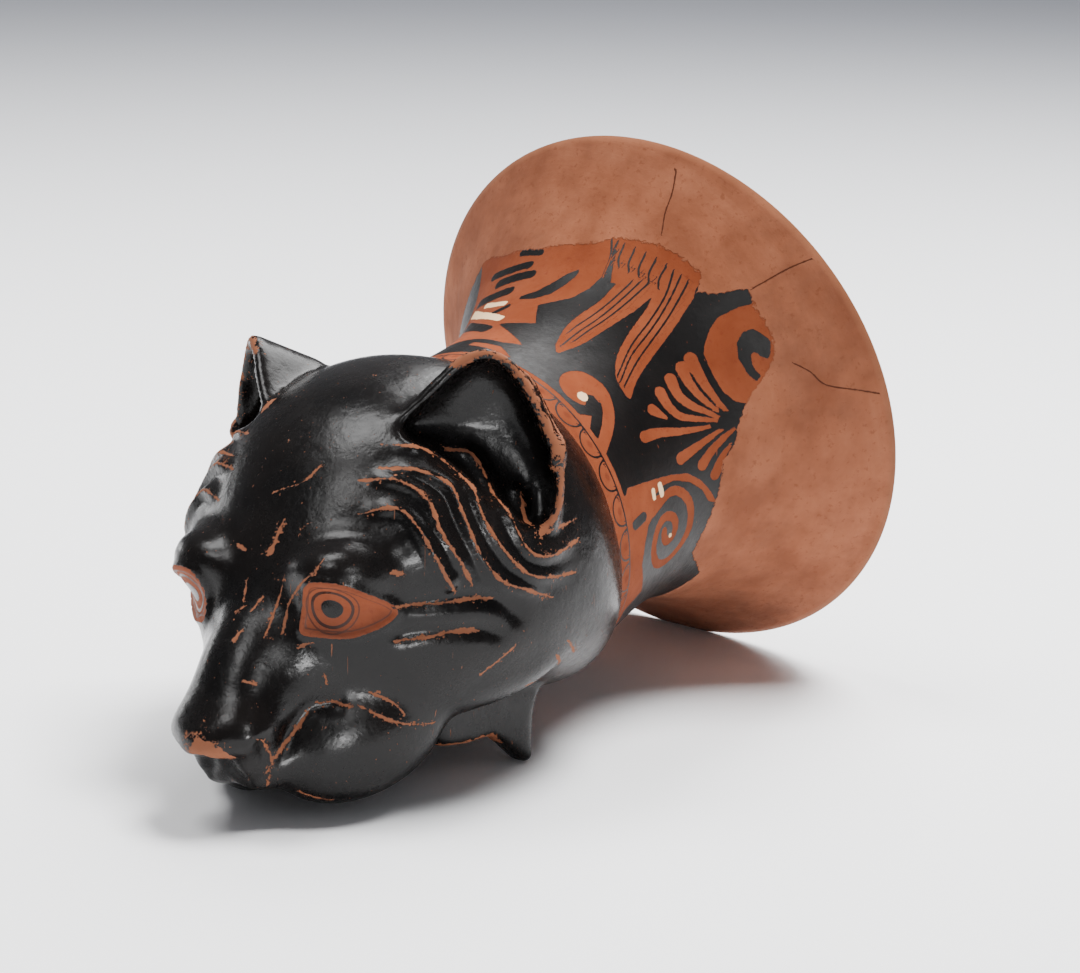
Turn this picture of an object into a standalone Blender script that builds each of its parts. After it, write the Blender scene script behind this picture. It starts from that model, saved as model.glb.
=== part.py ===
"""Rhyton: a black-glazed drinking vessel whose end is moulded as the head of a big cat.

It lies as it rests, on its rim, one lip and the stump of its lower jaw, with the
nose towards -Y and the mouth of the bowl towards +Y.

The vessel's own frame has its axis along Y with the rim plane at y = 0, x to the
animal's left and z to the top of its head. In it, s is the distance from the rim
plane towards the nose, so that y = -s. Sizes are millimetres until the end.
"""
import math

import bmesh
import bpy
import numpy as np
from mathutils import Matrix, Vector
from mathutils.bvhtree import BVHTree

MM = 0.001

# The thrown bowl: a short tube that flares to a wide rim.
RIM_RADIUS = 60.0
LIP_WALL = 3.0
LIP_ROUND = 0.9
WAIST_RADIUS = 34.0
WAIST_AT = 48.0
FLARE_POWER = 2.3
BAND_AT = 66.0
BAND_RADIUS = 35.3
BOWL_END = 71.0
BOWL_WALL = 4.2
ROUND_STEPS = 64

# The moulded head: half width, height above the axis and depth below it, by station.
HEAD_STATIONS = (
    (63.0, 32.0, 32.0, 32.0),
    (70.0, 37.0, 37.2, 35.0),
    (76.0, 40.3, 41.5, 34.0),
    (82.0, 42.0, 43.5, 31.5),
    (90.0, 42.5, 44.5, 27.0),
    (103.0, 41.0, 43.5, 21.5),
    (115.0, 36.0, 37.5, 19.5),
    (125.0, 28.5, 29.0, 19.0),
    (134.0, 19.0, 19.0, 18.0),
    (143.0, 12.0, 10.5, 16.0),
    (151.0, 10.0, 5.0, 11.0),
    (157.0, 7.5, 1.5, 6.5),
)
SECTION_POWER = 2.2
SECTION_STEPS = 64
CLAY_CELL = 1.1
HEAD_TRIANGLES = 5800

# Eggs of clay on the head: name, whether there is one on each side, centre (s, left, up),
# half sizes (across, along, up), and degrees of pitch about X and of yaw about Z.
LUMPS = (
    ("brow", True, (125.0, 15.5, 17.0), (12.0, 11.0, 7.2), -35.0, 20.0),
    ("temple", True, (112.0, 23.0, 16.0), (11.0, 13.0, 12.0), -20.0, -30.0),
    ("cheek", True, (107.0, 24.5, -6.5), (11.5, 25.0, 12.5), -4.0, -28.0),
    ("flew", True, (130.5, 13.5, -14.2), (10.8, 19.0, 13.0), 5.0, -28.0),
    ("lip", True, (147.5, 5.0, -11.5), (6.5, 8.5, 6.5), 0.0, -15.0),
    ("nostril", True, (151.5, 7.5, -3.5), (5.0, 6.5, 4.4), 0.0, 0.0),
    ("nose", False, (153.5, 0.0, -2.6), (9.0, 8.4, 4.6), 15.0, 0.0),
    ("bridge", False, (142.0, 0.0, 4.5), (10.2, 19.0, 7.6), 38.0, 0.0),
)
MOUTH = ("mouth", False, (134.0, 0.0, -24.0), (7.0, 17.0, 10.0), 0.0, 0.0)
BLEND_ROUNDS = 26

# The hollow inside: walls, and where the hollow of the head ends.
HEAD_WALL = 7.0
HOLLOW_END = 119.0
HOLLOW_STEPS = 48
HOLLOW_NOSE = ((0.86, 3.0), (0.5, 5.0))

# Ears: rounded cups whose openings face forwards and outwards.
EAR_RIM = (
    (104.0, 17.0, 39.0),
    (98.5, 21.5, 43.0),
    (92.8, 26.3, 48.0),
    (88.8, 31.0, 49.0),
    (86.5, 35.5, 45.0),
    (86.8, 39.8, 36.4),
    (88.1, 42.8, 26.6),
    (91.0, 43.0, 18.5),
    (95.5, 40.0, 14.0),
    (101.0, 33.0, 22.0),
    (104.5, 23.0, 33.0),
)
EAR_FACING = (0.745, 0.596, 0.298)
EAR_WALL = 2.6
# Copies of the rim: scale, move along the facing, move towards the back of the ear.
EAR_BLOCK = ((1.0, 0.0, 0.0), (0.62, -16.0, 0.0))
EAR_CUP = ((1.0, 4.0, 0.0), (0.97, -1.0, 0.2), (0.74, -5.0, 1.6), (0.36, -9.0, 3.6))
EAR_BACK = (-0.61, 0.77, -0.18)
EAR_STEPS = 44

# Folds and creases, as directions from a point inside the head. Each is a pair of degrees:
# away from the nose, and around the axis from the animal's left, upwards.
HEAD_CENTRE = 100.0
FOLDS = (
    ((59, 57), (66, 48), (66, 40), (65, 32), (65, 22), (66, 18)),
    ((67, 63), (72, 53), (73, 44), (70, 35), (70, 27), (71, 18)),
    ((72, 61), (77, 52), (80, 43), (78, 36), (76, 25), (78, 15), (84, 9), (92, 3)),
    ((78, 65), (82, 57), (87, 50), (86, 42), (82, 33), (82, 23), (85, 14), (91, 9), (102, 5)),
    ((95, 55), (99, 49), (97, 41), (90, 31), (88, 22), (90, 16), (96, 13), (107, 12)),
)
FOLD_HEIGHT = 1.4
FOLD_WIDTH = 1.5
CREASES = (
    ((49, 24), (61, 18), (72, 13), (78, 7), (82, -3)),
    ((42, 13), (50, 12), (59, 8), (70, 3), (76, -4)),
    ((18, -58), (16, -34), (18, -15), (22, -12), (28, -14)),
    ((12, -14), (14, -41), (18, -66)),
)
CREASE_DEPTH = 1.1
CREASE_WIDTH = 1.5
EYE_OUTLINE = ((24, 42), (34, 54), (40, 46), (45, 34), (49, 22), (40, 20), (31, 25))
EYE_RISE = 0.7
EYE_RIM_WIDTH = 1.3

# The stump of the lower jaw, in side view (s, height); only the left one keeps its spur.
JAW_SPUR = (
    (114, -18), (114, -26), (107, -29), (100, -30.5), (97, -34.5), (93.2, -40.8),
    (91.0, -40.8), (90.5, -37), (88, -31), (82, -22),
)
JAW_BROKEN = ((112, -18), (111, -23), (104, -26), (97, -27), (90, -31), (84, -31), (78, -29), (78, -22))
JAW_AT = 15.5
JAW_THICK = 6.0
JAW_SPLAY = 8.0

# How it lies: the bounds of the tilt along the axis and of the roll about it, in degrees,
# and how much is worn flat at the three places where it touches.
TILT_BOUNDS = (5.0, 22.0)
ROLL_BOUNDS = (0.0, 12.0)
WORN_FLAT = 0.25

# The outer part of the flare is bare clay; the rest is black.
BARE_CLAY_TO = 22.0
BLACK_GLOSS = (0.0087, 0.0080, 0.0075, 1.0)
FIRED_CLAY = (0.314, 0.108, 0.047, 1.0)


def at(s, left, up):
    return Vector((left, -s, up))


def bm_object(name, bm):
    mesh = bpy.data.meshes.new(name)
    bm.to_mesh(mesh)
    bm.free()
    obj = bpy.data.objects.new(name, mesh)
    bpy.context.scene.collection.objects.link(obj)
    return obj


def lump(name, centre, radii, pitch, yaw, side=1):
    """An egg of clay, on the animal's left (side 1) or right (side -1)."""
    s, left, up = centre
    bm = bmesh.new()
    bmesh.ops.create_icosphere(bm, subdivisions=3, radius=1.0)
    bmesh.ops.scale(bm, vec=Vector(radii), verts=bm.verts)
    spin = Matrix.Rotation(math.radians(side * yaw), 4, "Z") @ Matrix.Rotation(math.radians(pitch), 4, "X")
    bmesh.ops.transform(bm, matrix=Matrix.Translation(at(s, side * left, up)) @ spin, verts=bm.verts)
    return bm_object(name, bm)


def loft(name, rings):
    """Skin a list of closed rings and cap both ends."""
    bm = bmesh.new()
    loops = [[bm.verts.new(p) for p in ring] for ring in rings]
    count = len(loops[0])
    for a, b in zip(loops, loops[1:]):
        for i in range(count):
            j = (i + 1) % count
            bm.faces.new((a[i], a[j], b[j], b[i]))
    bm.faces.new(loops[0])
    bm.faces.new(loops[-1])
    bmesh.ops.recalc_face_normals(bm, faces=bm.faces)
    return bm_object(name, bm)


def hull(name, points):
    bm = bmesh.new()
    for p in points:
        bm.verts.new(p)
    found = bmesh.ops.convex_hull(bm, input=bm.verts)
    bmesh.ops.delete(bm, geom=list(set(found["geom_interior"] + found["geom_unused"])), context="VERTS")
    bmesh.ops.recalc_face_normals(bm, faces=bm.faces)
    return bm_object(name, bm)


def read_stations(s):
    """Half width, height and depth of the head at s, on a smooth curve through the stations."""
    table = np.array(HEAD_STATIONS)
    places = table[:, 0]
    i = int(np.clip(np.searchsorted(places, s) - 1, 0, len(places) - 2))
    step = places[i + 1] - places[i]
    t = (s - places[i]) / step
    slopes = np.gradient(table[:, 1:], places, axis=0) * step
    a, b = table[i, 1:], table[i + 1, 1:]
    return ((2 * t ** 3 - 3 * t ** 2 + 1) * a + (t ** 3 - 2 * t ** 2 + t) * slopes[i]
            + (3 * t ** 2 - 2 * t ** 3) * b + (t ** 3 - t ** 2) * slopes[i + 1])


def head_ring(s, inset, count):
    half, top, depth = read_stations(s) - inset
    ring = []
    for i in range(count):
        angle = 2 * math.pi * i / count
        c, d = math.cos(angle), math.sin(angle)
        x = half * math.copysign(abs(c) ** (2 / SECTION_POWER), c)
        z = (top if d > 0 else depth) * math.copysign(abs(d) ** (2 / SECTION_POWER), d)
        ring.append(at(s, x, z))
    return ring


def bowl_radius(s):
    """Outer radius of the bowl: a trumpet from the rim to the waist, then widening a little."""
    if s < WAIST_AT:
        rise = (WAIST_AT - s) / (WAIST_AT - LIP_ROUND)
        return WAIST_RADIUS + (RIM_RADIUS - WAIST_RADIUS) * rise ** FLARE_POWER
    return WAIST_RADIUS + (BAND_RADIUS - WAIST_RADIUS) * ((s - WAIST_AT) / (BAND_AT - WAIST_AT)) ** 1.5


def inside_of_bowl(s):
    """Place and radius of the inner wall facing the outer wall at s."""
    step = 0.01
    slope = (bowl_radius(s + step) - bowl_radius(s)) / step
    wall = LIP_WALL + (BOWL_WALL - LIP_WALL) * min(1.0, s / WAIST_AT)
    long = math.hypot(1.0, slope)
    return s + wall * slope / long, bowl_radius(s) - wall / long


def circle(s, radius, count):
    angles = [2 * math.pi * i / count for i in range(count)]
    return [at(s, radius * math.cos(a), radius * math.sin(a)) for a in angles]


def boolean(obj, cutter, operation):
    mod = obj.modifiers.new(operation.lower(), "BOOLEAN")
    mod.operation = operation
    mod.object = cutter
    mod.solver = "EXACT"
    apply_modifiers(obj)
    bpy.data.objects.remove(cutter, do_unlink=True)


def apply_modifiers(obj):
    graph = bpy.context.evaluated_depsgraph_get()
    mesh = bpy.data.meshes.new_from_object(obj.evaluated_get(graph))
    obj.modifiers.clear()
    obj.data = mesh


def smooth_ring(points, count):
    """Read a closed curve through the points (Catmull and Rom's) at even steps."""
    size = len(points)
    ring = []
    for k in range(count):
        place = k * size / count
        i = int(place)
        t = place - i
        p0, p1, p2, p3 = (np.array(points[(i + n - 1) % size]) for n in range(4))
        ring.append(0.5 * (2 * p1 + (p2 - p0) * t + (2 * p0 - 5 * p1 + 4 * p2 - p3) * t * t
                           + (3 * p1 - p0 - 3 * p2 + p3) * t ** 3))
    return ring


def slab(name, outline, left, thick, splay, side):
    """A plate with the given side view, standing at left and turned by splay degrees."""
    bm = bmesh.new()
    face = bm.faces.new([bm.verts.new(at(s, left - thick / 2, up)) for s, up in outline])
    grown = bmesh.ops.extrude_face_region(bm, geom=[face])["geom"]
    moved = [g for g in grown if isinstance(g, bmesh.types.BMVert)]
    bmesh.ops.translate(bm, vec=(thick, 0.0, 0.0), verts=moved)
    pivot = at(outline[0][0], left, outline[0][1])
    turn = Matrix.Rotation(math.radians(splay), 4, "Z")
    turn = Matrix.Translation(pivot) @ turn @ Matrix.Translation(-pivot)
    bmesh.ops.transform(bm, matrix=turn, verts=bm.verts)
    bmesh.ops.scale(bm, vec=(side, 1.0, 1.0), verts=bm.verts)
    bmesh.ops.recalc_face_normals(bm, faces=bm.faces)
    return bm_object(name, bm)


def read_mesh(mesh):
    """The vertices of a mesh and their outward normals."""
    places = np.empty(len(mesh.vertices) * 3)
    mesh.vertices.foreach_get("co", places)
    normals = np.empty(len(mesh.vertices) * 3)
    mesh.vertex_normals.foreach_get("vector", normals)
    return places.reshape(-1, 3), normals.reshape(-1, 3)


def surface_line(mesh, directions, side, closed=False):
    """Points on the outside of the head along a smooth line through the given directions."""
    tree = BVHTree.FromPolygons([v.co for v in mesh.vertices], [p.vertices for p in mesh.polygons])
    count = len(directions) * 8
    if closed:
        line = smooth_ring(directions, count)
    else:
        first, last = np.array(directions[0]), np.array(directions[-1])
        before = 2 * first - np.array(directions[1])
        after = 2 * last - np.array(directions[-2])
        spread = [tuple(before), *directions, tuple(after)]
        whole = smooth_ring(spread, len(spread) * 8)
        line = whole[8:8 * (len(directions)) + 1]
    centre = at(HEAD_CENTRE, 0.0, 0.0)
    hits = []
    for away, around in line:
        a, b = math.radians(away), math.radians(around)
        out = Vector((side * math.sin(a) * math.cos(b), -math.cos(a), math.sin(a) * math.sin(b)))
        place, _, _, _ = tree.ray_cast(centre + out * 200.0, -out)
        hits.append(place)
    return np.array(hits)


def gap_to_line(places, line):
    """Distance from each place to the nearest piece of the line."""
    best = np.full(len(places), np.inf)
    for a, b in zip(line, line[1:]):
        run = b - a
        t = np.clip((places - a) @ run / max(run @ run, 1e-9), 0.0, 1.0)
        best = np.minimum(best, np.linalg.norm(places - a - t[:, None] * run, axis=1))
    return best


def model_surface(head):
    """Raise the folds, sink the creases and round out the eyes."""
    mesh = head.data
    places, normals = read_mesh(mesh)
    lift = np.zeros(len(places))
    for side in (1, -1):
        lines = [surface_line(mesh, directions, side) for directions in FOLDS]
        gap = np.min([gap_to_line(places, line) for line in lines], axis=0)
        lift += FOLD_HEIGHT * np.exp(-(gap / FOLD_WIDTH) ** 2)
        for directions in CREASES:
            gap = gap_to_line(places, surface_line(mesh, directions, side))
            lift -= CREASE_DEPTH * np.exp(-(gap / CREASE_WIDTH) ** 2)
        outline = surface_line(mesh, EYE_OUTLINE, side, closed=True)
        middle = outline.mean(axis=0)
        reach = np.linalg.norm(outline - middle, axis=1).max()
        gap = gap_to_line(places, np.vstack([outline, outline[:1]]))
        lift += EYE_RISE * np.exp(-(gap / EYE_RIM_WIDTH) ** 2)
        ball = np.linalg.norm(places - middle, axis=1) / reach
        lift += EYE_RISE * np.clip(1.0 - ball ** 2, 0.0, 1.0)
    places += normals * lift[:, None]
    mesh.vertices.foreach_set("co", places.ravel())
    mesh.update()


def remesh(obj, cell, rounds):
    """Fuse what is in obj into one skin and smooth it."""
    fuse = obj.modifiers.new("fuse", "REMESH")
    fuse.mode = "VOXEL"
    fuse.voxel_size = cell
    soften = obj.modifiers.new("soften", "SMOOTH")
    soften.factor = 0.5
    soften.iterations = rounds
    apply_modifiers(obj)


def turned(tilt, roll):
    """Rolled about the vessel's axis, left side up, then tipped nose down."""
    return (Matrix.Rotation(math.radians(tilt), 3, "X")
            @ Matrix.Rotation(math.radians(-roll), 3, "Y"))


def lowest(points, tilt, roll):
    return (points @ np.array(turned(tilt, roll)).T)[:, 2].min()


def solve(level, bounds):
    """Where a level that falls between the bounds passes zero."""
    low, high = bounds
    for _ in range(30):
        middle = (low + high) / 2
        if level(middle) > 0:
            low = middle
        else:
            high = middle
    return (low + high) / 2


def resting_pose(points):
    """The tilt and roll at which the rim, the right lip and the jaw's spur all touch."""
    s = -points[:, 1]
    rim = points[s < 1.0]
    lip = points[(s > 120.0) & (points[:, 0] < 0)]
    spur = points[(s < 100.0) & (s > 80.0) & (points[:, 0] > 5.0) & (points[:, 2] < -32.0)]

    def tilt_at(roll):
        return solve(lambda tilt: lowest(lip, tilt, roll) - lowest(rim, tilt, roll), TILT_BOUNDS)

    def spur_below_rim(roll):
        tilt = tilt_at(roll)
        return lowest(rim, tilt, roll) - lowest(spur, tilt, roll)

    roll = solve(spur_below_rim, ROLL_BOUNDS)
    return tilt_at(roll), roll


def painted(name, colour, roughness):
    material = bpy.data.materials.new(name)
    material.use_nodes = True
    shader = material.node_tree.nodes["Principled BSDF"]
    shader.inputs["Base Color"].default_value = colour
    shader.inputs["Roughness"].default_value = roughness
    shader.inputs["Metallic"].default_value = 0.0
    return material


def joined(name, pieces):
    bm = bmesh.new()
    for piece in pieces:
        bm.from_mesh(piece.data)
        bpy.data.objects.remove(piece, do_unlink=True)
    return bm_object(name, bm)


def ear(name, side, grow, rings):
    """An ear's block, wrapped round copies of its rim."""
    rim = np.array(smooth_ring(EAR_RIM, EAR_STEPS))
    facing = np.array(EAR_FACING) / np.linalg.norm(EAR_FACING)
    middle = rim.mean(axis=0)
    out = []
    for scale, shift, slide in rings:
        for p in rim:
            arm = p - middle
            q = middle + arm * scale + arm / np.linalg.norm(arm) * grow
            q = q + facing * shift + np.array(EAR_BACK) * slide
            out.append(at(q[0], side * q[1], q[2]))
    return hull(name, out)


def clay_head():
    """The head, built up from lumps and smoothed, with its ears, open mouth, folds and eyes."""
    stations = np.linspace(HEAD_STATIONS[-1][0], HEAD_STATIONS[0][0], 40)
    pieces = [loft("skull", [head_ring(s, 0.0, SECTION_STEPS) for s in stations])]
    for name, paired, *shape in LUMPS:
        for side in (1, -1) if paired else (1,):
            pieces.append(lump(name, *shape, side=side))
    head = joined("head", pieces)
    remesh(head, CLAY_CELL, BLEND_ROUNDS)
    name, _, *shape = MOUTH
    boolean(head, lump(name, *shape), "DIFFERENCE")
    pieces = [head]
    pieces.append(slab("jaw_left", JAW_SPUR, JAW_AT, JAW_THICK, -JAW_SPLAY, 1))
    pieces.append(slab("jaw_right", JAW_BROKEN, JAW_AT, JAW_THICK, -JAW_SPLAY, -1))
    for side in (1, -1):
        pieces.append(ear("ear", side, EAR_WALL / 2, EAR_BLOCK))
    head = joined("head", pieces)
    remesh(head, CLAY_CELL, 5)
    for side in (1, -1):
        cup = ear("ear_hollow", side, -EAR_WALL / 2, EAR_CUP)
        boolean(head, cup, "DIFFERENCE")
    remesh(head, CLAY_CELL, 3)
    model_surface(head)
    decimate = head.modifiers.new("fewer", "DECIMATE")
    decimate.ratio = HEAD_TRIANGLES / (2 * len(head.data.polygons))
    apply_modifiers(head)
    return head


def bowl_steps():
    """Places along the bowl, closer together where it flares."""
    return (*(WAIST_AT * np.linspace(0.0, 1.0, 11) ** 1.3), BAND_AT)


def union_of_bowl_and_head(head):
    """The turned bowl, as a solid, with the head fused to its end."""
    outer = [circle(0.0, RIM_RADIUS - LIP_ROUND, ROUND_STEPS)]
    for s in (*bowl_steps(), BOWL_END):
        outer.append(circle(max(s, LIP_ROUND), bowl_radius(max(s, LIP_ROUND)), ROUND_STEPS))
    body = loft("vessel", outer)
    boolean(body, head, "UNION")
    return body


def hollow():
    """What the vessel holds: the inside of the bowl, running on into the head."""
    inner = [circle(*inside_of_bowl(s), HOLLOW_STEPS) for s in bowl_steps()]
    for s in np.linspace(BOWL_END + HEAD_WALL, HOLLOW_END, 6):
        inner.append(head_ring(s, HEAD_WALL, HOLLOW_STEPS))
    last = np.array(inner[-1])
    middle = last.mean(axis=0)
    for scale, onward in HOLLOW_NOSE:
        inner.append([Vector(middle + (p - middle) * scale) - Vector((0.0, onward, 0.0)) for p in last])
    return loft("hollow", inner)


def colour_surface(obj):
    """Bare clay on the outer part of the flare, and black gloss elsewhere."""
    mesh = obj.data
    mesh.materials.append(painted("black_gloss", BLACK_GLOSS, 0.25))
    mesh.materials.append(painted("bare_clay", FIRED_CLAY, 0.6))
    for face in mesh.polygons:
        face.material_index = 1 if -face.center.y < BARE_CLAY_TO else 0
    mesh.shade_smooth()
    mesh.set_sharp_from_angle(angle=math.radians(40.0))


def lay_down(obj):
    """Lay the vessel in its resting pose, wear its three touching places flat and scale it to metres."""
    colour_surface(obj)
    points, _ = read_mesh(obj.data)
    tilt, roll = resting_pose(points)
    obj.data.transform(turned(tilt, roll).to_4x4())
    points, _ = read_mesh(obj.data)
    low, high = points.min(axis=0), points.max(axis=0)
    wide, deep = 4 * RIM_RADIUS, RIM_RADIUS
    bm = bmesh.new()
    bmesh.ops.create_cube(bm, size=1.0)
    bmesh.ops.scale(bm, vec=(wide, wide, deep), verts=bm.verts)
    middle = (low + high) / 2
    bmesh.ops.translate(bm, vec=(middle[0], middle[1], low[2] + WORN_FLAT - deep / 2), verts=bm.verts)
    boolean(obj, bm_object("ground", bm), "DIFFERENCE")
    shift = Vector((-middle[0], -middle[1], -low[2] - WORN_FLAT))
    obj.data.transform(Matrix.Scale(MM, 4) @ Matrix.Translation(shift))
    return tilt, roll, shift


for old in list(bpy.data.objects):
    bpy.data.objects.remove(old, do_unlink=True)

vessel = union_of_bowl_and_head(clay_head())
boolean(vessel, hollow(), "DIFFERENCE")
tilt, roll, shift = lay_down(vessel)
vessel.name = "rhyton"
vessel.data.name = "rhyton"
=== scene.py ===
"""Looks of the rhyton: a drinking vessel of fired clay whose end is a big cat's head in black gloss.

The vessel is modelled upright in its own frame, in millimetres: its axis lies along Y with the rim
plane at y = 0, x to the animal's left and z to the top of its head. s is the distance from the rim
plane towards the nose, so y = -s. At the end it is laid down as it rests and scaled to metres.
"""
import math

import bpy
import numpy as np
from mathutils import Matrix, Vector
from mathutils.bvhtree import BVHTree


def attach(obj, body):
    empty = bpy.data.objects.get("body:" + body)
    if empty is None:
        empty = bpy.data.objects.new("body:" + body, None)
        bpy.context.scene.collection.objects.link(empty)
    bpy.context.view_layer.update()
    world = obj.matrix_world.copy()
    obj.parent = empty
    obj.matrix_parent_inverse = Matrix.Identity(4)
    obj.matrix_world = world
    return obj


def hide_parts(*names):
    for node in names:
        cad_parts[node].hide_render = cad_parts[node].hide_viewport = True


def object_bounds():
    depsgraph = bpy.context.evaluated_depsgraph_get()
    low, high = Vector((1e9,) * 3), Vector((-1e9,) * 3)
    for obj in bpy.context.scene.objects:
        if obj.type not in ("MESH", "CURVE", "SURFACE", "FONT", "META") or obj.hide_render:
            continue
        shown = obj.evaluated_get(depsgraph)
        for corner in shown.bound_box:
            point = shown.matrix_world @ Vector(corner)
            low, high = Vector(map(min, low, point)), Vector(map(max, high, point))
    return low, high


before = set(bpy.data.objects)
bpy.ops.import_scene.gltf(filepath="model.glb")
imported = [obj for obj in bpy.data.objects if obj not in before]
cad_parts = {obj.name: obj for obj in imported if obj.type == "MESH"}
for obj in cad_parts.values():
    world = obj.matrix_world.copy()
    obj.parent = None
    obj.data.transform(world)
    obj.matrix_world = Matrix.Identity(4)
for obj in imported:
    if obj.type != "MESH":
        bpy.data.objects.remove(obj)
cad_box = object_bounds()

MM = 0.001

# How the vessel lies: tipped nose down, rolled about its axis and moved, in degrees and millimetres,
# and how much of its nose's tip is pressed back level with the solid's.
TILT = 13.451915
ROLL = 7.363879
SHIFT = (0.0, 70.842155, 58.286430)
NOSE_TIP = 5.0

# The thrown bowl.
RIM_RADIUS = 60.0
LIP_WALL = 3.0
LIP_ROUND = 0.9
WAIST_RADIUS = 34.0
WAIST_AT = 48.0
FLARE_POWER = 2.3
BAND_AT = 66.0
BAND_RADIUS = 35.3
BOWL_END = 71.0
BOWL_WALL = 4.2
BOWL_STEPS = 408
PAINTED_FROM = 11.0
PAINT_STEP = 0.56

# The moulded head: half width, height above the axis and depth below it, by station s.
HEAD_STATIONS = (
    (63, 32, 32, 32), (70, 37, 37.2, 35), (76, 40.3, 41.5, 34),
    (82, 42, 43.5, 31.5), (90, 42.5, 44.5, 27), (103, 41, 43.5, 21.5),
    (115, 36, 37.5, 19.5), (125, 28.5, 29, 19), (134, 19, 19, 18),
    (143, 12, 10.5, 16), (151, 10, 5, 11), (157, 7.5, 1.5, 6.5),
)
SECTION_POWER = 2.2
SECTION_STEPS = 64
CLAY_CELL = 0.85
BLEND_ROUNDS = 49
FINISH_ROUNDS = 9
SKULL_RINGS = 48

# Lumps of clay: name, whether there is one on each side, centre (s, left, up), half sizes
# (across, along, up), and degrees of pitch about X and of yaw about Z.
LUMPS = (
    ("brow", True, (125, 15.5, 17), (12, 11, 7.2), -35, 20),
    ("temple", True, (112, 23, 16), (11, 13, 12), -20, -30),
    ("cheek", True, (107, 24.5, -6.5), (11.5, 25, 12.5), -4, -28),
    ("flew", True, (130.5, 13.5, -14.2), (10.8, 19, 13), 5, -28),
    ("lip", True, (147.5, 5, -11.5), (6.5, 8.5, 6.5), 0, -15),
    ("nostril", True, (151.5, 7.5, -3.5), (5, 6.5, 4.4), 0, 0),
    ("nose", False, (153.5, 0, -2.6), (9, 8.4, 4.6), 15, 0),
    ("bridge", False, (142, 0, 4.5), (10.2, 19, 7.6), 38, 0),
)
MOUTH = ("mouth", False, (134, 0, -24), (7, 17, 10), 0, 0)

# The hollow inside.
HEAD_WALL = 7.0
HOLLOW_END = 119.0
HOLLOW_STEPS = 72
BOWL_RINGS = 24
HEAD_RINGS = 10
HOLLOW_NOSE = ((0.86, 3.0), (0.5, 5.0))

# Ears: rounded cups whose openings face forwards and outwards.
EAR_RIM = (
    (104, 17, 39), (98.5, 21.5, 43), (92.8, 26.3, 48), (88.8, 31, 49),
    (86.5, 35.5, 45), (86.8, 39.8, 36.4), (88.1, 42.8, 26.6), (91, 43, 18.5),
    (95.5, 40, 14), (101, 33, 22), (104.5, 23, 33),
)
EAR_FACING = (0.745, 0.596, 0.298)
EAR_WALL = 2.6
# Copies of the rim: scale, move along the facing, move towards the back of the ear.
EAR_BLOCK = ((1.0, 0.0, 0.0), (0.62, -16.0, 0.0))
EAR_CUP = (
    (1, 4, 0), (0.98, -1.5, 0.1), (0.9, -4, 0.6),
    (0.76, -6.2, 1.4), (0.55, -8, 2.4), (0.28, -9, 3.4),
)
EAR_BACK = (-0.61, 0.77, -0.18)
EAR_STEPS = 88

# Folds, creases and the eye as directions from a point inside the head: degrees away from the
# nose, and around the axis from the animal's left, upwards.
HEAD_CENTRE = 100.0
FOLDS = (
    ((59, 57), (66, 48), (66, 40), (65, 32), (65, 22), (66, 18)),
    ((67, 63), (72, 53), (73, 44), (70, 35), (70, 27), (71, 18)),
    ((72, 61), (77, 52), (80, 43), (78, 36), (76, 25), (78, 15), (84, 9), (92, 3)),
    ((78, 65), (82, 57), (87, 50), (86, 42), (82, 33), (82, 23), (85, 14), (91, 9), (102, 5)),
    ((95, 55), (99, 49), (97, 41), (90, 31), (88, 22), (90, 16), (96, 13), (107, 12)),
    ((106, 54), (108, 48), (109, 43), (107, 37), (101, 30), (96, 23)),
)
FOLD_HEIGHT = 1.4
FOLD_FRONT = 1.1
FOLD_BACK = 2.2
CREASES = (
    ((49, 24), (61, 18), (72, 13), (78, 7), (82, -3)),
    ((42, 13), (50, 12), (59, 8), (70, 3), (76, -4)),
    ((18, -58), (16, -34), (18, -15), (22, -12), (28, -14)),
    ((12, -14), (14, -41), (18, -66)),
    ((4, -92), (8, -78), (12, -74), (17, -66)),
)
CREASE_DEPTH = 1.1
CREASE_WIDTH = 1.7
EYE_OUTLINE = ((24, 42), (34, 54), (40, 46), (45, 34), (49, 22), (40, 20), (31, 25))
PUPIL = (35, 39)
EYE_RISE = 0.8
EYE_RIM_WIDTH = 0.9
EYE_REACH = 16.0

# Where the gloss has worn through: half width in millimetres and directions; on both sides.
WORN_LINES = (
    (0.30, ((49, 24), (55, 20.5), (61, 17), (69, 14), (75, 11))),
    (0.34, ((45, 11), (53, 8), (60, 6.5), (68, 3.5))),
    (0.26, ((16, -56), (15.5, -44), (16, -34), (18, -17))),
    (0.22, ((20, -13), (24, -13), (28, -14))),
    (0.27, ((12, -19), (13.5, -38), (18, -62))),
    (0.26, ((31, -15), (38, -21), (44, -25), (53, -29))),
    (0.20, ((34, -10), (40, -16), (43, -21))),
)
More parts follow.
